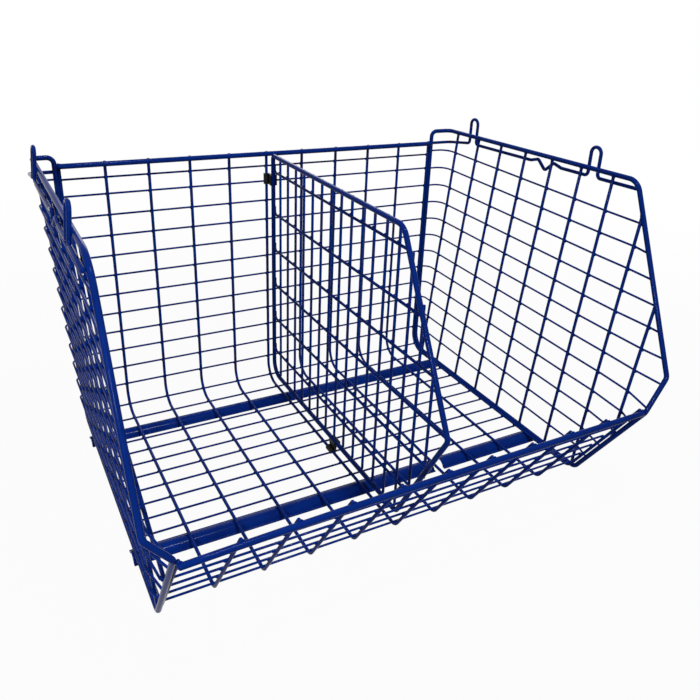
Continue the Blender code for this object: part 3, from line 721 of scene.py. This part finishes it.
@dataclass(frozen=True)
class SidePanel:
    """Closed frame rod bent in three directions, with uprights, thin rows and a stacking wire outside.

    It is drawn on the right; the left panel is the mirror of one with its own sizes.
    """

    name: str
    rear_flare: float
    front_flare: float
    nose_flare: float
    rear_height: float
    front_height: float
    nose_height: float
    top_row: float
    mesh_lean: float
    rim_turn_radius: float
    loop_lean: float
    lip_corner_height: float
    rim_front: float = 354.0 * MM
    nose_place: float = 447.0 * MM
    sill_front: float = 367.5 * MM
    heel_radius: float = 25.0 * MM
    rim_corner_radius: float = 7.5 * MM
    nose_radius: float = 10.0 * MM
    lip_corner_radius: float = 8.0 * MM
    sill_radius: float = 11.0 * MM
    upright_first: float = 23.2 * MM
    upright_pitch: float = 49.5 * MM
    upright_count: int = 9
    upright_last: float = 412.0 * MM
    row_pitch: float = 25.68 * MM
    row_count: int = 12
    row_start: float = 2.3 * MM
    turn_radius: float = 16.0 * MM
    turn_share: float = 0.75
    stacking_rear_drop: float = 17.5 * MM
    stacking_drop: float = 11.5 * MM
    stacking_end_drop: float = 10.0 * MM
    stacking_end: float = 357.0 * MM
    loop_places: tuple[float, float] = (52.5 * MM, 284.5 * MM)
    loop_rise: float = 33.6 * MM
    loop_width: float = 15.0 * MM
    loop_foot_radius: float = 5.0 * MM
    loop_tip_share: float = 0.47
    notch_place: float = 205.0 * MM
    notch_depth: float = 8.0 * MM
    notch_peak: float = 3.5 * MM
    notch_half_width: float = 14.0 * MM
    notch_radius: float = 4.0 * MM

    @property
    def lip_corner(self) -> tuple[float, float]:
        """Place and height of the corner between nose and lip."""
        return self.nose_place, self.lip_corner_height

    def rim_point(self, place: float) -> np.ndarray:
        """Point of the top rim over a place in the depth, which may lie past its front bend."""
        share = place / self.rim_front
        x = FRAME_X + between(self.rear_flare, self.front_flare, min(share, 1.0))
        return np.array([x, -place, between(self.rear_height, self.front_height, share)])

    def slant_point(self, place: float) -> np.ndarray:
        """Point of the slanting front edge over a place in the depth."""
        share = (place - self.rim_front) / (self.nose_place - self.rim_front)
        x = FRAME_X + between(self.front_flare, self.nose_flare, share)
        return np.array([x, -place, between(self.front_height, self.nose_height, share)])

    def front_edge(self, z: float) -> np.ndarray:
        """Point of the front edge at a height: on the slant, the nose or the lip's end."""
        corner_place, corner_height = self.lip_corner
        if z > self.nose_height:
            share = (self.front_height - z) / (self.front_height - self.nose_height)
            return self.slant_point(between(self.rim_front, self.nose_place, share))
        if z > corner_height:
            share = (self.nose_height - z) / (self.nose_height - corner_height)
            x = FRAME_X + between(self.nose_flare, 0.0, share)
            return np.array([x, -between(self.nose_place, corner_place, share), z])
        share = (corner_height - z) / (corner_height - GAUGES.frame_inset)
        return np.array([FRAME_X, -between(corner_place, self.sill_front, share), z])

    def frame_path(self) -> np.ndarray:
        """Axis of the closed frame rod."""
        inset = GAUGES.frame_inset
        corner_place, corner_height = self.lip_corner
        corners = [
            (FRAME_X, -inset, inset),
            (FRAME_X, -inset, self.rear_height),
            (FRAME_X + self.rear_flare, -inset, self.rear_height),
            self.rim_point(self.rim_front),
            self.slant_point(self.nose_place),
            (FRAME_X, -corner_place, corner_height),
            (FRAME_X, -self.sill_front, inset),
        ]
        radii = [self.heel_radius, self.rim_corner_radius, self.rim_corner_radius, self.rim_turn_radius,
                 self.nose_radius, self.lip_corner_radius, self.sill_radius]
        return bent_path(corners, radii, closed=True)

    def upright(self, index: int) -> tuple[np.ndarray, np.ndarray]:
        """Lower and upper end of an upright, inside the frame rod; most feet stand back a little."""
        last = index == self.upright_count - 1
        place = self.upright_last if last else self.upright_first + self.upright_pitch * index
        foot_place = place if last else max(place - self.mesh_lean, self.upright_first)
        corner_place, corner_height = self.lip_corner
        foot = np.array([FRAME_X, -foot_place, GAUGES.frame_inset])
        if foot_place > self.sill_front:
            share = (foot_place - self.sill_front) / (corner_place - self.sill_front)
            foot[2] = between(GAUGES.frame_inset, corner_height, share)
        top = self.rim_point(place) if place < self.rim_front else self.slant_point(place)
        return foot, top

    def crossings(self, start_z: float) -> list[np.ndarray]:
        """Points of the uprights where a row crosses; it falls to the front with the mesh's turn."""
        crossed = []
        for index in range(self.upright_count):
            foot, top = self.upright(index)
            z = start_z + self.mesh_lean * top[1] / self.nose_place
            if foot[2] < z < top[2] - GAUGES.frame:
                crossed.append(foot + (top - foot) * (z - foot[2]) / (top[2] - foot[2]))
        return crossed

    def row_path(self, start_z: float) -> np.ndarray:
        """Axis of a thin row: a short return behind the corner, then forward to the front edge."""
        back = -GAUGES.frame_inset + GAUGES.across(GAUGES.frame, GAUGES.thin)
        outward = np.array([GAUGES.across(GAUGES.bent, GAUGES.thin), 0.0, 0.0])
        crossed = [point + outward for point in self.crossings(start_z)]
        start = np.array([GRID_HALF_WIDTH + self.row_start, back, start_z])
        corner = np.array([crossed[0][0], back, start_z])
        end = self.front_edge(start_z - self.mesh_lean) + np.array([0.0, GAUGES.frame / 4, 0.0])
        turn = min(self.turn_radius, self.turn_share * (corner[0] - start[0]))
        return bent_path([start, corner, *crossed, end], [0.0, turn] + [0.0] * (len(crossed) + 1))

    def stacking_path(self) -> np.ndarray:
        """Axis of the stacking wire: two hairpin loops that stand above the rim, a notch between them."""
        offset = GAUGES.across(GAUGES.frame, GAUGES.stacking)
        back = -GAUGES.frame_inset + offset

        def at(place: float, above: float = 0.0) -> np.ndarray:
            """Point of the wire over a place in the depth."""
            drop = between(self.stacking_drop, self.stacking_end_drop, place / self.rim_front)
            lean = self.loop_lean * above / self.loop_rise
            return self.rim_point(place) + np.array([offset - lean, 0.0, above - drop])

        def loop(place: float) -> list[np.ndarray]:
            """Corners of one hairpin loop."""
            half = self.loop_width / 2
            rise = self.loop_rise
            return [at(place - half), at(place - half, rise), at(place + half, rise), at(place + half)]

        rear = self.rear_height - self.stacking_rear_drop
        step = self.notch_half_width
        notch = [
            (-2 * step, 0.0),
            (-step, self.notch_peak),
            (0.0, -self.notch_depth),
            (step, self.notch_peak),
            (2 * step, 0.0),
        ]
        corners = [np.array([FRAME_X, back, rear]), np.array([at(0.0)[0], back, rear])]
        corners += loop(self.loop_places[0])
        corners += [at(self.notch_place + across, above) for across, above in notch]
        corners += loop(self.loop_places[1])
        corners.append(at(self.stacking_end))
        tip = self.loop_tip_share * self.loop_width
        hairpin = [self.loop_foot_radius, tip, tip, self.loop_foot_radius]
        radii = [0.0, self.rim_corner_radius, *hairpin, *[self.notch_radius] * len(notch), *hairpin, 0.0]
        return bent_path(corners, radii, steps=LOOP_STEPS)

    def build(self, shop: Workshop) -> None:
        """Places the frame rod, uprights, rows, stacking wire and the drops at their welds."""
        frame, uprights, rows, stacking, welds = (Draft() for _ in range(5))
        frame.wire(self.frame_path(), GAUGES.frame, ROD_SIDES, closed=True)
        ends = [self.upright(index) for index in range(self.upright_count)]
        for foot, top in ends:
            uprights.wire(np.stack([foot, top]), GAUGES.bent)
        self.weld_ends(welds, ends)
        outward = np.array([GAUGES.bent / 2, 0.0, 0.0])
        for row in range(self.row_count):
            z = self.top_row - self.row_pitch * row
            rows.wire(self.row_path(z), GAUGES.thin, THIN_SIDES)
            touch = [point + outward for point in self.crossings(z)]
            weld_beads(welds, touch, UPWARD, REARWARD, CROSSING_DROP)
        stacking.wire(self.stacking_path(), GAUGES.stacking, STACKING_SIDES)
        node = f"{self.name}_side_panel"
        pieces = [
            ("side_frame", frame, [node]),
            ("side_uprights", uprights, [node]),
            ("side_rows", rows, [node]),
            ("side_weld_coating", welds, []),
            ("stacking_wire", stacking, [f"{self.name}_stacking_wire"]),
        ]
        for name, draft, nodes in pieces:
            turned = draft.mirrored() if self.name == "left" else draft
            shop.place(f"{self.name}_{name}", turned, Body.BASKET, nodes)

    def weld_ends(self, welds: Draft, ends: list[tuple[np.ndarray, np.ndarray]]) -> None:
        """Adds a drop of coating where each upright meets the frame rod."""
        for foot, top in ends:
            along = unit(top - foot)
            inner = [foot + along * END_DROP_INSET, top - along * END_DROP_INSET]
            weld_beads(welds, inner, along, REARWARD, END_DROP)


SIDE_PANELS = (
    SidePanel(name="left", rear_flare=22.0 * MM, front_flare=22.5 * MM, nose_flare=21.0 * MM,
              rear_height=337.0 * MM, front_height=340.0 * MM, nose_height=153.0 * MM,
              top_row=311.0 * MM, mesh_lean=0.0, rim_turn_radius=40.0 * MM, loop_lean=3.5 * MM,
              lip_corner_height=127.0 * MM),
    SidePanel(name="right", rear_flare=31.5 * MM, front_flare=27.5 * MM, nose_flare=22.0 * MM,
              rear_height=343.5 * MM, front_height=352.0 * MM, nose_height=161.0 * MM,
              top_row=315.1 * MM, mesh_lean=8.0 * MM, rim_turn_radius=18.0 * MM, loop_lean=0.0,
              lip_corner_height=123.0 * MM),
)


@dataclass(frozen=True)
class Divider:
    """Lift-out divider: a closed rod with uprights on its right face and hooked rows inside them."""

    place: float = 5.0 * MM
    back: float = -11.1 * MM
    floor: float = 11.1 * MM
    top: float = 325.6 * MM
    top_front: float = 331.0 * MM
    nose: tuple[float, float] = (430.7 * MM, 147.5 * MM)
    foot: float = 353.5 * MM
    radii: tuple[float, ...] = (20.0 * MM, 5.0 * MM, 18.0 * MM, 7.0 * MM, 10.0 * MM)
    upright_first: float = 14.4 * MM
    upright_pitch: float = 24.5 * MM
    upright_count: int = 16
    row_top: float = 305.0 * MM
    row_top_gap: float = 55.5 * MM
    row_pitch: float = 50.2 * MM
    row_count: int = 6
    hook: float = 11.0 * MM
    hook_radius: float = 5.0 * MM
    upright_sink: float = 0.25 * MM
    upright_reach: float = 1.2 * MM
    row_shift: float = 0.45 * MM
    weld_shift: float = 2.0 * MM

    def slant_height(self, place: float) -> float:
        """Height of the upper front edge over a place in the depth."""
        nose_place, nose_height = self.nose
        return between(self.top, nose_height, (place - self.top_front) / (nose_place - self.top_front))

    def toe_height(self, place: float) -> float:
        """Height of the lower front edge over a place in the depth."""
        nose_place, nose_height = self.nose
        return between(self.floor, nose_height, (place - self.foot) / (nose_place - self.foot))

    def front(self, z: float) -> float:
        """Depth of the front edge at a height."""
        nose_place, nose_height = self.nose
        if z > nose_height:
            return -between(self.top_front, nose_place, (self.top - z) / (self.top - nose_height))
        return -between(self.foot, nose_place, (z - self.floor) / (nose_height - self.floor))

    def upright_ends(self) -> list[tuple[np.ndarray, np.ndarray]]:
        """Lower and upper end of each upright."""
        x = self.place + GAUGES.across(GAUGES.divider_rod, GAUGES.divider_wire) - self.upright_sink
        ends = []
        for index in range(self.upright_count):
            place = self.upright_first + self.upright_pitch * index - self.back
            top = self.top if place < self.top_front else self.slant_height(place)
            low = self.floor if place < self.foot else self.toe_height(place)
            heights = (low - self.upright_reach, top + self.upright_reach)
            ends.append(tuple(np.array([x, -place, z]) for z in heights))
        return ends

    def row_paths(self) -> list[np.ndarray]:
        """Axes of the rows, whose rear ends are hooked up beside the rear upright."""
        x = self.place + self.row_shift
        hook_y = self.back - GAUGES.across(GAUGES.divider_rod, GAUGES.divider_wire)
        paths = []
        for row in range(self.row_count):
            z = self.row_top - (self.row_top_gap + self.row_pitch * (row - 1) if row else 0.0)
            end = self.front(z) + GAUGES.divider_rod / 4
            corners = [(x, hook_y, z + self.hook), (x, hook_y, z), (x, end, z)]
            paths.append(bent_path(corners, [0.0, self.hook_radius, 0.0]))
        return paths

    def build(self, shop: Workshop) -> None:
        """Places the rod, the uprights, the rows and the drops at their welds."""
        frame, uprights, rows, welds = (Draft() for _ in range(4))
        nose_place, nose_height = self.nose
        corners = [
            (self.place, self.back, self.floor),
            (self.place, self.back, self.top),
            (self.place, -self.top_front, self.top),
            (self.place, -nose_place, nose_height),
            (self.place, -self.foot, self.floor),
        ]
        path = bent_path(corners, list(self.radii), closed=True)
        frame.wire(path, GAUGES.divider_rod, ROD_SIDES, closed=True)
        ends = self.upright_ends()
        for low, top in ends:
            uprights.wire(np.stack([low, top]), GAUGES.divider_wire)
        x = self.place + self.weld_shift
        for path in self.row_paths():
            rows.wire(path, GAUGES.divider_wire)
            _, front, z = path[-1]
            touch = [np.array([x, low[1], z]) for low, top in ends
                     if low[2] < z < top[2] and low[1] > front]
            weld_beads(welds, touch, UPWARD, REARWARD, DIVIDER_DROP)
        pieces = [("divider_frame", frame), ("divider_uprights", uprights), ("divider_rows", rows)]
        for name, draft in pieces:
            shop.place(name, draft, Body.DIVIDER, ["divider"])
        shop.place("divider_weld_coating", welds, Body.DIVIDER, [])


@dataclass(frozen=True)
class Lamp:
    """Square soft light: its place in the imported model's frame, in metres, its width and its watts."""

    name: str
    place: tuple[float, float, float]
    size: float
    power: float


# One for lines along channels and rails, one for the left panel and the lip, one for the back
LAMPS = (
    Lamp("overhead_soft_light", (0.1, -0.6, 2.1), 0.25, 30.0),
    Lamp("window_light", (-0.75, -0.95, 0.6), 0.1, 7.0),
    Lamp("rear_soft_light", (0.5, 1.5, 0.9), 0.8, 8.0),
)


@dataclass(frozen=True)
class Studio:
    """White studio: three lights, weak fill, a pale floor and the photo's camera.

    The camera's place and directions are in the design frame, its lens and sensor in millimetres.
    """

    eye: tuple[float, float, float] = (-345.5 * MM, -873.9 * MM, 521.6 * MM)
    right: tuple[float, float, float] = (0.87335, -0.48487, 0.04654)
    down: tuple[float, float, float] = (-0.16015, -0.37606, -0.91265)
    forward: tuple[float, float, float] = (0.46002, 0.78961, -0.40608)
    lens: float = 37.05
    sensor: float = 36.0
    shift: tuple[float, float] = (-0.0256, -0.0526)
    clip_start: float = 10.0 * MM
    aim: tuple[float, float, float] = (0.0, 0.0, 150.0 * MM)
    fill: float = 0.06
    floor_half: float = 12.0

    def camera(self, origin: np.ndarray) -> None:
        """Puts the camera where the photo was taken from."""
        data = bpy.data.cameras.new("photo_camera")
        data.sensor_fit = "HORIZONTAL"
        data.sensor_width = self.sensor
        data.lens = self.lens
        data.shift_x, data.shift_y = self.shift
        data.clip_start = self.clip_start
        made = bpy.data.objects.new("photo_camera", data)
        columns = [np.array(self.right), -np.array(self.down), -np.array(self.forward)]
        pose = np.eye(4)
        pose[:3, :3] = np.stack(columns, axis=1)
        pose[:3, 3] = np.array(self.eye) + origin
        made.matrix_world = Matrix(pose.tolist())
        bpy.context.scene.collection.objects.link(made)
        bpy.context.scene.camera = made

    def world(self) -> None:
        """White where the eye sees it, directly or in a reflection, a weaker fill for all else."""
        world = bpy.data.worlds.new("white_studio")
        world.use_nodes = True
        tree = world.node_tree
        tree.nodes.clear()
        level = add_node(tree, "ShaderNodeMapRange", {"To Min": self.fill, "To Max": 1.0},
                         {"Value": seen_share(tree)})
        glow = add_node(tree, "ShaderNodeBackground", {"Color": srgb("#ffffff")},
                        {"Strength": level.outputs["Result"]})
        add_node(tree, "ShaderNodeOutputWorld", links={"Surface": glow.outputs["Background"]})
        bpy.context.scene.world = world

    def light(self, lamp: Lamp) -> None:
        """Adds a lamp that points at the middle of the basket."""
        data = bpy.data.lights.new(lamp.name, "AREA")
        data.size = lamp.size
        data.energy = lamp.power
        made = bpy.data.objects.new(lamp.name, data)
        made.visible_camera = False
        backward = unit(np.array(lamp.place) - np.array(self.aim))
        across = unit(np.cross(REARWARD, backward))
        pose = np.eye(4)
        pose[:3, :3] = np.stack([across, np.cross(backward, across), backward], axis=1)
        pose[:3, 3] = lamp.place
        made.matrix_world = Matrix(pose.tolist())
        bpy.context.scene.collection.objects.link(made)

    def floor(self) -> None:
        """Lays the pale floor under the basket."""
        half = self.floor_half
        corners = [(-half, -half, 0.0), (half, -half, 0.0), (half, half, 0.0), (-half, half, 0.0)]
        data = bpy.data.meshes.new("floor")
        data.from_pydata(corners, [], [(0, 1, 2, 3)])
        data.materials.append(PaleSweep().build())
        made = bpy.data.objects.new("floor", data)
        bpy.context.scene.collection.objects.link(made)

    def build(self, origin: np.ndarray) -> None:
        """Sets up floor, world, lights, camera and view."""
        self.floor()
        self.world()
        for lamp in LAMPS:
            self.light(lamp)
        self.camera(origin)
        bpy.context.scene.view_settings.view_transform = "Standard"


def dress_kept_nodes(shop: Workshop) -> None:
    """Gives the CAD clips, whose shape is right, their plastic."""
    for name in ("rear_clip", "floor_clip"):
        clip = bpy.data.objects[name]
        clip.data.materials.clear()
        clip.data.materials.append(shop.plastic)


def main() -> None:
    """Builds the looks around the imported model."""
    logging.basicConfig(level=logging.INFO)
    bpy.ops.wm.read_factory_settings(use_empty=True)
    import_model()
    shop = Workshop()
    WireGrid().build(shop)
    FloorChannels().build(shop)
    for panel in SIDE_PANELS:
        panel.build(shop)
    Divider().build(shop)
    dress_kept_nodes(shop)
    Studio().build(shop.shift)


if __name__ == "__main__":
    main()
